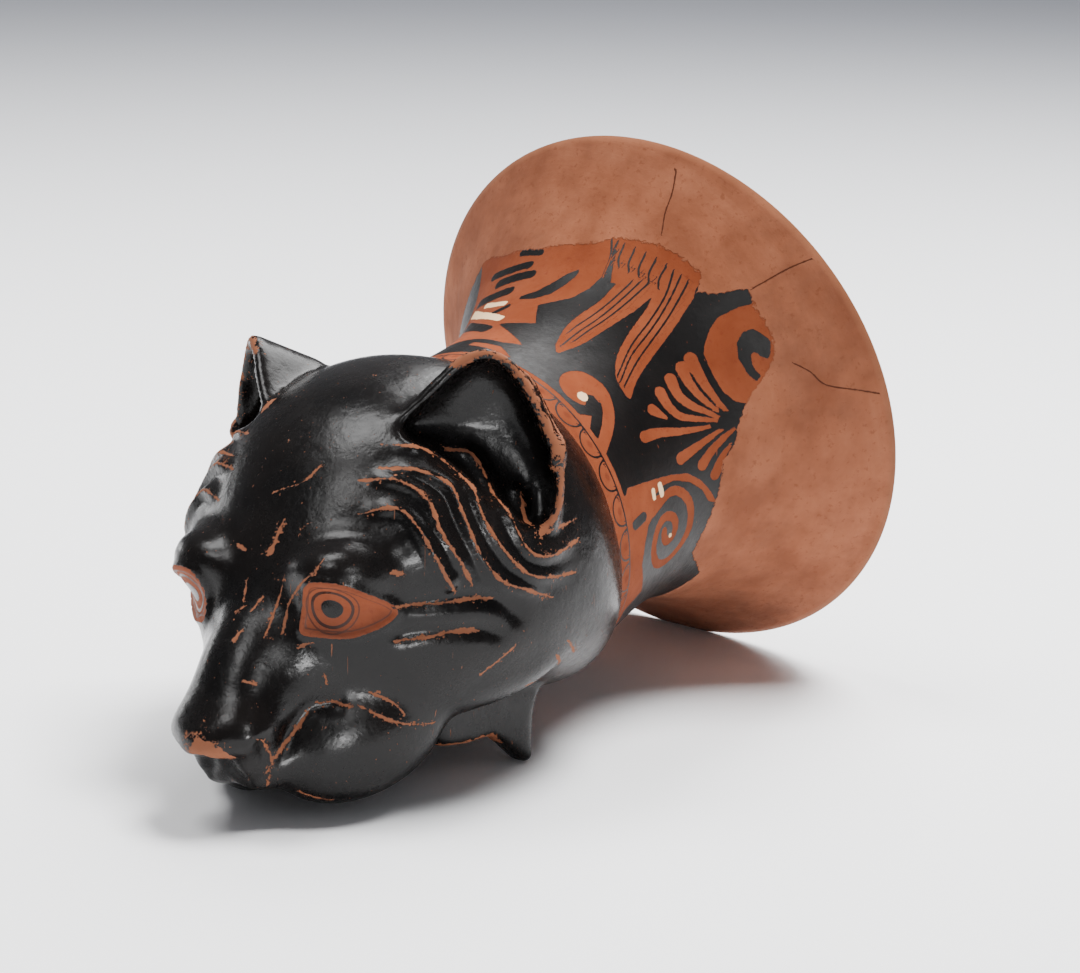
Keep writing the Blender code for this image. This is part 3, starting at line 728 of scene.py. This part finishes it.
def paint_fields(theta, s):
    """Signed distances on the outside of the bowl: bare clay, fine lines, cream and brown wash."""
    places = np.stack([theta * PAINT_ARC, s], axis=1)
    both = np.stack([np.where(theta > 150.0, 180.0 - theta, theta) * PAINT_ARC, s], axis=1)
    clay, gap, signed, half, cream, feather, spacing = (
        np.full(len(s), FIELDS[name]) for name in (
            "clay", "line_gap", "line_side", "line_half", "cream", "feather", "feather_pitch"))
    petals = [("clay", (PETAL_TIP, PETAL_FOOT), p) for p in PETALS]
    band_edge = 62.2 - 2.9 * np.clip(np.sin(np.radians(theta)), -0.2, 1.0)
    figure = (*DRAPERY, *WING, *VOLUTE)
    for k, (colour, kind, points) in enumerate((*figure, *petals, HEART, *SPIRAL, *SCROLL)):
        line = flat(points)
        seen = places if k < len(figure) else both
        if kind == "area":
            field = inside_area(seen, line)
        elif kind == "curve":
            field = inside_area(seen, np.array(smooth_ring(line, len(line) * 5)))
        else:
            off, _, share = to_stroke(seen, np.array(smooth_line(line, 5)))
            width = kind[0] + (kind[1] - kind[0]) * share if isinstance(kind, tuple) else kind
            field = width - off
        clay = np.maximum(clay, field) if colour == "clay" else np.minimum(clay, -field)
    down = s - band_edge
    clay = np.maximum(clay, down)

    def add_line(g, d, width=FINE_HALF):
        nonlocal gap, signed, half
        signed = np.where(g < gap, d, signed)
        half = np.where(g < gap, width, half)
        gap = np.minimum(g, gap)

    for blade in FEATHERS:
        found = [to_stroke(places, np.array(smooth_line(flat(points), 5))) for points in blade]
        nearest = np.min([g for g, _, _ in found], axis=0)
        lanes = [d for _, d, _ in found]
        first, last = np.abs(lanes[0]), np.abs(lanes[-1])
        lane, width = np.zeros(len(s)), np.full(len(s), FEATHER_PITCH)
        for k, (a, b) in enumerate(zip(lanes, lanes[1:])):
            between, across = (a * b) < 0, np.abs(a) + np.abs(b)
            lane = np.where(between, k + np.abs(a) / np.maximum(across, TINY), lane)
            width = np.where(between, across, width)
        same = np.sign(lanes[0]) == np.sign(lanes[-1])
        lane = np.where(same & (first < last), -first / FEATHER_PITCH, lane)
        lane = np.where(same & (first >= last), len(lanes) - 1 + last / FEATHER_PITCH, lane)
        here = nearest < FEATHER_REACH
        feather = np.where(here, lane + FEATHER_BASE, feather)
        spacing = np.where(here, width, spacing)
    for points in (*WING_LINES, *SCALE_MARKS, *CRACKS):
        g, d, _ = to_stroke(places, np.array(smooth_line(flat(points), 5)))
        add_line(g, d, CRACK_HALF if points in CRACKS else BRUSH_HALF)
    add_line(np.abs(down - 1.5), down - 1.5)
    along = (theta * PAINT_ARC) % EGG_PITCH - EGG_PITCH / 2
    reach = np.hypot(along / EGG_HALF_WIDTH, (down - 1.9) / EGG_DEPTH)
    outline = (reach - 1.0) * EGG_HALF_WIDTH
    outline = np.where(down > 1.7, outline, 9.0)
    add_line(np.abs(outline), outline)
    wash = 1.0 - np.hypot(along / 1.3, (down - 2.9) / 0.9)
    for width, points in CREAM:
        cream = np.maximum(cream, width - to_stroke(places, flat(points))[0])
    return {"clay": clay, "line_gap": gap, "line_side": signed, "line_half": half, "cream": cream,
            "wash": wash, "feather": feather, "feather_pitch": spacing}


def mark_finishes(vessel, lines):
    """Write, at each point, how far it lies inside each finish."""
    mesh = vessel.data
    places, normals = read_mesh(mesh)
    s = -places[:, 1]
    radius = np.hypot(places[:, 0], places[:, 2])
    theta = np.degrees(np.arctan2(places[:, 2], places[:, 0]))
    theta = np.where(theta < -50.0, theta + 360.0, theta)
    proud = radius - bowl_radius(s)
    on_bowl = (np.abs(proud) < 0.03) & (s < BOWL_END - 0.5) & (s > LIP_ROUND + 0.01)
    inner = (proud < -1.0) & (s < BAND_AT)
    inner |= (s < LIP_ROUND + 0.02) & (radius < RIM_RADIUS + 0.1)
    on_head = ~on_bowl & ~inner
    fields = {name: np.full(len(s), value) for name, value in FIELDS.items()}
    b = np.where(on_bowl)[0]
    for name, values in paint_fields(theta[b], s[b]).items():
        fields[name][b] = values
    fields["worn"][b] = 0.0
    edge = np.array(sorted(MENDED_EDGE))
    fields["mended"][b] = (np.interp(theta, edge[:, 0], edge[:, 1], period=360.0) - s)[b]
    # Inside, the mended clay ends in a ripple a few millimetres below the lip.
    ripple = 3.4 + 1.1 * np.sin(np.radians(theta * 3)) + 0.6 * np.sin(np.radians(theta * 7 + 60))
    fields["mended"][inner] = (ripple - s)[inner]

    h = np.where(on_head & (radius > 4.0))[0]
    p, n = places[h], normals[h]
    gap, signed, half, ear_gap = (np.full(len(h), value) for value in (9.0, 9.0, 0.2, 9.0))
    eye, ring = np.full(len(h), FIELDS["eye"]), np.full(len(h), FIELDS["eye_ring"])
    for side in (1, -1):
        marks = [(FOLD_WEAR, line) for line in lines[side]["folds"]] + lines[side]["worn"]
        for width, line in (*marks, (EAR_WEAR, lines[side]["ear"])):
            g, d, _ = to_line(p, n, line)
            half = np.where(g < gap, width, half)
            signed = np.where(g < gap, d, signed)
            gap = np.minimum(gap, g)
        ear_gap = np.minimum(ear_gap, g)
        outline = lines[side]["eye"]
        middle = outline.mean(axis=0)
        axes = np.linalg.svd(outline - middle)[2][:2].T
        within = inside_area((p - middle) @ axes, (outline - middle) @ axes)
        close = np.linalg.norm(p - middle, axis=1) < EYE_REACH
        eye = np.where(close, np.maximum(eye, within), eye)
        ring = np.minimum(ring, np.linalg.norm(p - lines[side]["pupil"], axis=1))
    for name, values in (("line_gap", gap), ("line_side", signed), ("line_half", half),
                         ("eye", eye), ("eye_ring", ring)):
        fields[name][h] = values

    # Flakes come thickest on the tip of the nose, beside the worn lines, round the rims of the ears,
    # and where the jaw is broken off below, down to the clay.
    nose = np.linalg.norm(places - np.array(at(*NOSE_WEAR)), axis=1) / NOSE_WEAR_REACH
    fields["chips"] = chips = np.where(on_head, 0.34 * np.exp(-nose ** 2), FIELDS["chips"])
    broken = on_head & (s > 98.0) & (s < 115.5) & (places[:, 2] < -23.0) & (np.abs(places[:, 0]) < 25.0)
    chips[broken & (normals[:, 2] < -0.55)] = 0.4
    chips += np.where(on_head, 0.13 * np.exp(-fields["line_gap"] ** 2), 0.0)
    chips[h] += 0.12 * np.exp(-(ear_gap / 3.2) ** 2)
    # Turning marks run round the bowl and drift along it.
    fields["wheel"] = np.where(radius > WAIST_RADIUS - 9.0, radius + 0.6 * s, 0.0)
    for name, values in fields.items():
        layer = mesh.attributes.new(name, "FLOAT", "POINT")
        layer.data.foreach_set("value", values.astype(np.float32))


# ---------------------------------------------------------------- finishes

def linear(colour):
    """A hex colour as linear light."""
    parts = [int(colour[i:i + 2], 16) / 255 for i in (1, 3, 5)]
    return (*(c / 12.92 if c <= 0.04045 else ((c + 0.055) / 1.055) ** 2.4 for c in parts), 1.0)


def node(tree, kind, inputs, output=0, **settings):
    """Add a node with its settings, give each input a value or a link, and return one output."""
    new = tree.nodes.new(kind)
    for name, value in settings.items():
        setattr(new, name, value)
    for name, value in inputs.items():
        if isinstance(value, bpy.types.NodeSocket):
            tree.links.new(value, new.inputs[name])
        else:
            new.inputs[name].default_value = value
    return new.outputs[output]


def glazed_clay():
    """Fired clay under a black gloss slip, brushed on and fired, as on ancient painted pottery.

    The slip is a hard thin skin, shiny but softer than glass, with brushed and rubbed patches in its
    shine. It is flaked and worn through to the orange body, which is matt; so is the mended clay.
    """
    material = bpy.data.materials.new("black_gloss_slip_on_fired_clay")
    material.use_nodes = True
    tree = material.node_tree
    shader = tree.nodes["Principled BSDF"]
    maths, remap, noise, mix = (
        "ShaderNodeMath", "ShaderNodeMapRange", "ShaderNodeTexNoise", "ShaderNodeMix")
    place = node(tree, "ShaderNodeTexCoord", {}, "Object")
    marked = {name: node(tree, "ShaderNodeAttribute", {}, "Fac", attribute_name=name) for name in FIELDS}
    grain = {}
    for name, (size, detail, rough) in GRAINS.items():
        grain[name] = node(tree, noise, {
            "Vector": place, "Scale": 1 / (size * MM), "Detail": detail, "Roughness": rough})

    # A brushed edge wanders by about 0.1 mm.
    wander = node(tree, maths, {0: grain["edge"], 1: 0.5, 2: -0.25}, operation="MULTIPLY_ADD")
    covers = []
    for name, soft in (("clay", 0.05), ("eye", 0.06), ("cream", 0.06)):
        edge = node(tree, maths, {0: marked[name], 1: wander}, operation="ADD")
        covers.append(node(tree, remap, {"Value": edge, "From Min": -soft, "From Max": soft}))
    bare, eye, cream = covers
    bare = node(tree, maths, {0: bare, 1: eye}, operation="MAXIMUM")

    # Lines: drawn in black on the bare clay, and worn through to the clay along the ridges of the
    # head, where they come and go every few millimetres.
    worn = marked["worn"]
    patchy = node(tree, maths, {0: grain["patches"], 1: 8.5, 2: -4.3}, operation="MULTIPLY_ADD")
    patchy = node(tree, maths, {0: patchy, 1: worn, 2: 1.0}, operation="MULTIPLY_ADD")
    width = node(tree, maths, {0: marked["line_half"], 1: patchy}, operation="MULTIPLY")
    off = node(tree, maths, {0: marked["line_side"]}, operation="ABSOLUTE")
    ragged = node(tree, maths, {0: worn, 1: 1.3, 2: 0.5}, operation="MULTIPLY_ADD")
    off = node(tree, maths, {0: wander, 1: ragged, 2: off}, operation="MULTIPLY_ADD")
    inside = node(tree, maths, {0: width, 1: off}, operation="SUBTRACT")
    line = node(tree, remap, {"Value": inside, "From Min": -0.05, "From Max": 0.05})
    ends = node(tree, maths, {0: width, 1: marked["line_gap"]}, operation="SUBTRACT")
    ends = node(tree, remap, {"Value": ends, "From Min": -0.52, "From Max": -0.48})
    line = node(tree, maths, {0: line, 1: ends}, operation="MULTIPLY")

    # Brush lines of the feathers lie where the feather coordinate is a whole number.
    whole = node(tree, maths, {0: marked["feather"]}, operation="ROUND")
    apart = node(tree, maths, {0: marked["feather"], 1: whole}, operation="SUBTRACT")
    apart = node(tree, maths, {0: apart}, operation="ABSOLUTE")
    apart = node(tree, maths, {0: apart, 1: marked["feather_pitch"]}, operation="MULTIPLY")
    apart = node(tree, maths, {0: wander, 1: 0.4, 2: apart}, operation="MULTIPLY_ADD")
    brushed = node(tree, remap, {
        "Value": apart, "From Min": 0.15, "From Max": 0.25, "To Min": 1.0, "To Max": 0.0})
    blade = node(tree, remap, {
        "Value": marked["feather"], "From Min": FEATHER_BASE - 0.8, "From Max": FEATHER_BASE - 0.5})
    brushed = node(tree, maths, {0: brushed, 1: blade}, operation="MULTIPLY")
    line = node(tree, maths, {0: line, 1: brushed}, operation="MAXIMUM")

    # The eye: a black pupil, a brown ring round it, a thin outer ring and a faint line inside the lids.
    drawn = node(tree, remap, {
        "Value": marked["eye_ring"], "From Min": 2.1, "From Max": 2.3, "To Min": 1.0, "To Max": 0.0})
    for where, at_distance, half, strength in (
            ("eye_ring", 4.0, 0.3, 0.85), ("eye_ring", 5.15, 0.16, 0.6), ("eye", 1.1, 0.13, 0.5)):
        ring = node(tree, maths, {0: marked[where], 1: at_distance, 2: half}, operation="COMPARE")
        ring = node(tree, maths, {0: ring, 1: strength}, operation="MULTIPLY")
        drawn = node(tree, maths, {0: drawn, 1: ring}, operation="MAXIMUM")
    within = node(tree, remap, {"Value": marked["eye"], "From Min": 0.2, "From Max": 0.4})
    drawn = node(tree, maths, {0: drawn, 1: within}, operation="MULTIPLY")
    line = node(tree, maths, {0: line, 1: drawn}, operation="MAXIMUM")
    bare = node(tree, maths, {0: bare, 1: line}, operation="SUBTRACT")
    bare = node(tree, maths, {0: bare}, operation="ABSOLUTE")

    # Flakes of a millimetre or two, pin holes, and hair-thin scratches drawn out along two ways.
    for name, start, full in (("flakes", 0.70, 0.715), ("holes", 0.755, 0.775)):
        flaked = node(tree, maths, {0: grain[name], 1: marked["chips"]}, operation="ADD")
        flaked = node(tree, remap, {"Value": flaked, "From Min": start, "From Max": full})
        bare = node(tree, maths, {0: bare, 1: flaked}, operation="MAXIMUM")
    for turn in ((0.4, 0.7, 0.3), (1.1, -0.5, 1.9)):
        drawn_out = node(tree, "ShaderNodeMapping", {
            "Vector": place, "Rotation": turn, "Scale": (1.0, 1.0, 0.045)})
        scratch = node(tree, noise, {"Vector": drawn_out, "Scale": 1 / (0.55 * MM), "Detail": 1.0})
        scratch = node(tree, remap, {
            "Value": scratch, "From Min": 0.775, "From Max": 0.81, "To Max": 0.75})
        bare = node(tree, maths, {0: bare, 1: scratch}, operation="MAXIMUM")

    # Mended clay has a torn edge that wanders by about a millimetre; cracks show dark in it.
    mended = node(tree, maths, {0: wander, 1: 4.0, 2: marked["mended"]}, operation="MULTIPLY_ADD")
    mended = node(tree, remap, {"Value": mended, "From Min": -0.15, "From Max": 0.15})
    crack = node(tree, maths, {0: line, 1: mended}, operation="MULTIPLY")
    wheel = node(tree, "ShaderNodeCombineXYZ", {"X": marked["wheel"]})
    drift = node(tree, "ShaderNodeVectorMath", {0: place, 1: (60.0, 60.0, 60.0), 2: wheel},
                 operation="MULTIPLY_ADD")
    turned = node(tree, noise, {"Vector": drift, "Scale": 0.55, "Detail": 4.0, "Roughness": 0.6})
    bare = node(tree, maths, {0: bare, 1: mended}, operation="MAXIMUM")

    # Colours: orange body and pinker plaster, both cloudy over 14 mm and speckled; brown-black slip.
    cloud = node(tree, remap, {"Value": grain["cloud"], "From Min": 0.36, "From Max": 0.64})
    speck = node(tree, remap, {
        "Value": grain["speck"], "From Min": 0.32, "From Max": 0.42, "To Min": 0.5, "To Max": 0.0})
    wash = node(tree, remap, {"Value": marked["wash"], "From Max": 0.5, "To Max": 0.6})
    streak = node(tree, remap, {"Value": turned, "From Min": 0.35, "From Max": 0.65, "To Max": 0.35})
    stains = node(tree, remap, {
        "Value": grain["stains"], "From Min": 0.55, "From Max": 0.7, "To Max": 0.4})
    body, plaster, slip = (
        node(tree, mix, {0: cloud, 6: linear(dark), 7: linear(light)}, 2, data_type="RGBA")
        for dark, light in (("#6F341B", "#804126"), ("#7A4730", "#985E43"), ("#080707", "#100D0C")))
    for share, over in ((speck, "#662C18"), (wash, "#5E2A18")):
        body = node(tree, mix, {0: share, 6: body, 7: linear(over)}, 2, data_type="RGBA")
    for share, over in ((streak, "#7C452B"), (speck, "#6E3A24"), (stains, "#6A4230"), (crack, "#4A2617")):
        plaster = node(tree, mix, {0: share, 6: plaster, 7: linear(over)}, 2, data_type="RGBA")
    # The bare clay on the head, out of the eyes, is mixed towards a darker brown than the bowl's.
    darker_on_head = node(tree, maths, {0: worn, 1: 0.75}, operation="MULTIPLY")
    darker_on_head = node(tree, maths, {0: darker_on_head, 1: eye}, operation="SUBTRACT", use_clamp=True)
    for share, over in ((mended, plaster), (darker_on_head, linear("#7E4F36"))):
        body = node(tree, mix, {0: share, 6: body, 7: over}, 2, data_type="RGBA")
    colour = slip
    for share, over in ((bare, body), (cream, linear("#E0BE92"))):
        colour = node(tree, mix, {0: share, 6: colour, 7: over}, 2, data_type="RGBA")
    tree.links.new(colour, shader.inputs["Base Color"])

    # Shine: slip about 0.25 rough on the head and 0.45 on the bowl, rubbed a little duller in patches
    # of 2 and 12 mm; clay matt.
    matt = node(tree, maths, {0: bare, 1: cream}, operation="MAXIMUM")
    rubbed = node(tree, remap, {
        "Value": grain["rubbed"], "From Min": 0.3, "From Max": 0.7, "To Min": 0.37, "To Max": 0.49})
    dull = node(tree, remap, {
        "Value": grain["dull"], "From Min": 0.4, "From Max": 0.66, "To Max": 0.07})
    rough = node(tree, maths, {0: rubbed, 1: dull}, operation="ADD")
    rough = node(tree, maths, {0: worn, 1: -0.2, 2: rough}, operation="MULTIPLY_ADD")
    rough = node(tree, maths, {0: matt, 1: 0.5, 2: rough}, operation="MULTIPLY_ADD", use_clamp=True)
    tree.links.new(rough, shader.inputs["Roughness"])
    shader.inputs["IOR"].default_value = 1.29

    # Relief: the slip stands a few hundredths of a millimetre above the clay and the mended clay a
    # tenth above that, with the marks of turning; hand-smoothed hollows about 7 mm across and fine
    # grit of 0.6 mm show in the shine.
    wheeled = node(tree, maths, {0: turned, 1: mended}, operation="MULTIPLY")
    relief = node(tree, maths, {0: grain["grit"], 1: 0.42}, operation="MULTIPLY")
    for share, height in ((grain["smoothed"], 2.6), (matt, -0.45), (crack, -1.5), (mended, 1.6),
                          (wheeled, 1.2)):
        relief = node(tree, maths, {0: share, 1: height, 2: relief}, operation="MULTIPLY_ADD")
    bump = node(tree, "ShaderNodeBump", {"Height": relief, "Strength": 0.6, "Distance": 0.16 * MM})
    tree.links.new(bump, shader.inputs["Normal"])
    return material


# ---------------------------------------------------------------- the vessel

def lay_down(vessel):
    """Tip and roll the vessel into its resting pose, flatten what touches the ground and scale it."""
    turn = Matrix.Rotation(math.radians(TILT), 4, "X") @ Matrix.Rotation(math.radians(-ROLL), 4, "Y")
    vessel.data.transform(Matrix.Translation(Vector(SHIFT)) @ turn)
    places, _ = read_mesh(vessel.data)
    places *= MM
    low, high = np.array(cad_box)
    start = low[1] + NOSE_TIP * MM
    tip = places[:, 1] < start
    press = min(1.0, (start - low[1]) / (start - places[:, 1].min()))
    places[tip, 1] = start + (places[tip, 1] - start) * press
    vessel.data.vertices.foreach_set("co", np.clip(places, low, high).ravel())
    vessel.data.update()


head = clay_head()
lines = head_lines(surface_tree(head.data))
carve(head, lines)
lines = head_lines(surface_tree(head.data))
vessel = lathe("rhyton_vessel", bowl_profile(), BOWL_STEPS)
combine(vessel, head, "UNION")
combine(vessel, hollow(), "DIFFERENCE")
mark_finishes(vessel, lines)
lay_down(vessel)
choose(vessel)
bpy.ops.object.shade_smooth()
vessel.data.materials.clear()
vessel.data.materials.append(glazed_clay())
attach(vessel, "root")
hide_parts("rhyton")


# ---------------------------------------------------------------- floor, light and camera

def floor():
    """A pale sweep of paper, near white under the vessel and light grey far behind it: the grey is a
    painted shade for the light falling off with distance.
    """
    bpy.ops.mesh.primitive_grid_add(x_subdivisions=8, y_subdivisions=8, size=12.0, location=(0, 0, 0))
    obj = bpy.context.object
    obj.name = "floor"
    material = bpy.data.materials.new("pale_paper_floor")
    material.use_nodes = True
    tree = material.node_tree
    shader = tree.nodes["Principled BSDF"]
    place = node(tree, "ShaderNodeTexCoord", {}, "Object")
    turned = node(tree, "ShaderNodeMapping", {"Vector": place, "Rotation": (0.0, 0.0, math.radians(-36.0))})
    along = node(tree, "ShaderNodeSeparateXYZ", {"Vector": turned}, "Y")
    # Painted shade: the colour darkens from near white to grey away from the camera, as the light falls
    # off.
    painted_falloff = node(tree, "ShaderNodeMapRange", {"Value": along, "From Min": -0.05, "From Max": 1.3},
                interpolation_type="SMOOTHERSTEP")
    colour = node(tree, "ShaderNodeMix", {0: painted_falloff, 6: linear("#FCFCFD"), 7: linear("#7E8087")}, 2,
                  data_type="RGBA")
    tree.links.new(colour, shader.inputs["Base Color"])
    shader.inputs["Roughness"].default_value = 0.8
    obj.data.materials.append(material)


def soft_box(name, place, aim, size, power, gloss=True, matt=True):
    """A light panel; gloss and matt tell which surfaces it lights."""
    light = bpy.data.lights.new(name, "AREA")
    light.shape = "RECTANGLE"
    light.size, light.size_y = size
    light.energy = power
    obj = bpy.data.objects.new(name, light)
    bpy.context.scene.collection.objects.link(obj)
    obj.location = place
    obj.rotation_euler = (Vector(aim) - Vector(place)).to_track_quat("-Z", "Y").to_euler()
    obj.visible_glossy = gloss
    obj.visible_diffuse = matt


def camera():
    """At the photograph's place, fitted from sight lines through the rim."""
    right = Vector((0.80603, 0.59114, 0.02944))
    up = Vector((-0.18620, 0.20605, 0.96066))
    back = Vector((0.56182, -0.77980, 0.27616))
    data = bpy.data.cameras.new("camera")
    data.sensor_width = 36.0
    data.lens = 3400.0 / 1080.0 * 36.0
    data.clip_start = 0.05
    obj = bpy.data.objects.new("camera", data)
    bpy.context.scene.collection.objects.link(obj)
    turn = Matrix((right, up, back)).transposed()
    obj.matrix_world = Matrix.Translation((0.40500, -0.53650, 0.24471)) @ turn.to_4x4()
    bpy.context.scene.camera = obj


floor()
soft_box("key_softbox", (-0.40, -0.20, 0.97), (0, 0, 0.04), (0.40, 0.40), 8.0)
soft_box("back_softbox", (-0.16, 0.74, 0.84), (0, 0, 0.02), (0.8, 0.6), 15.0)
# Most of the light on the floor and the clay comes from overhead; the small lights draw the
# highlights on the gloss and light nothing else, so that the shadows stay deep.
soft_box("overhead_softbox", (0.28, 0.30, 1.15), (0, -0.03, 0), (0.50, 0.50), 33.0, gloss=False)
soft_box("left_reflector", (-0.99, 0.13, 0.10), (0, 0, 0.09), (0.30, 0.10), 0.8, matt=False)
soft_box("nose_softbox", (-0.24, -0.66, 0.78), (0, -0.05, 0.05), (0.26, 0.26), 3.0, matt=False)
soft_box("brow_softbox", (0.58, -0.58, 0.62), (0, -0.02, 0.05), (0.2, 0.2), 2.2, matt=False)
soft_box("low_reflector", (0.78, -0.72, 0.17), (0, -0.04, 0.03), (0.16, 0.13), 6.5, matt=False)
world = bpy.data.worlds.new("studio")
bpy.context.scene.world = world
world.use_nodes = True
world.node_tree.nodes["Background"].inputs["Color"].default_value = linear("#E6E8EE")
world.node_tree.nodes["Background"].inputs["Strength"].default_value = 0.27
camera()
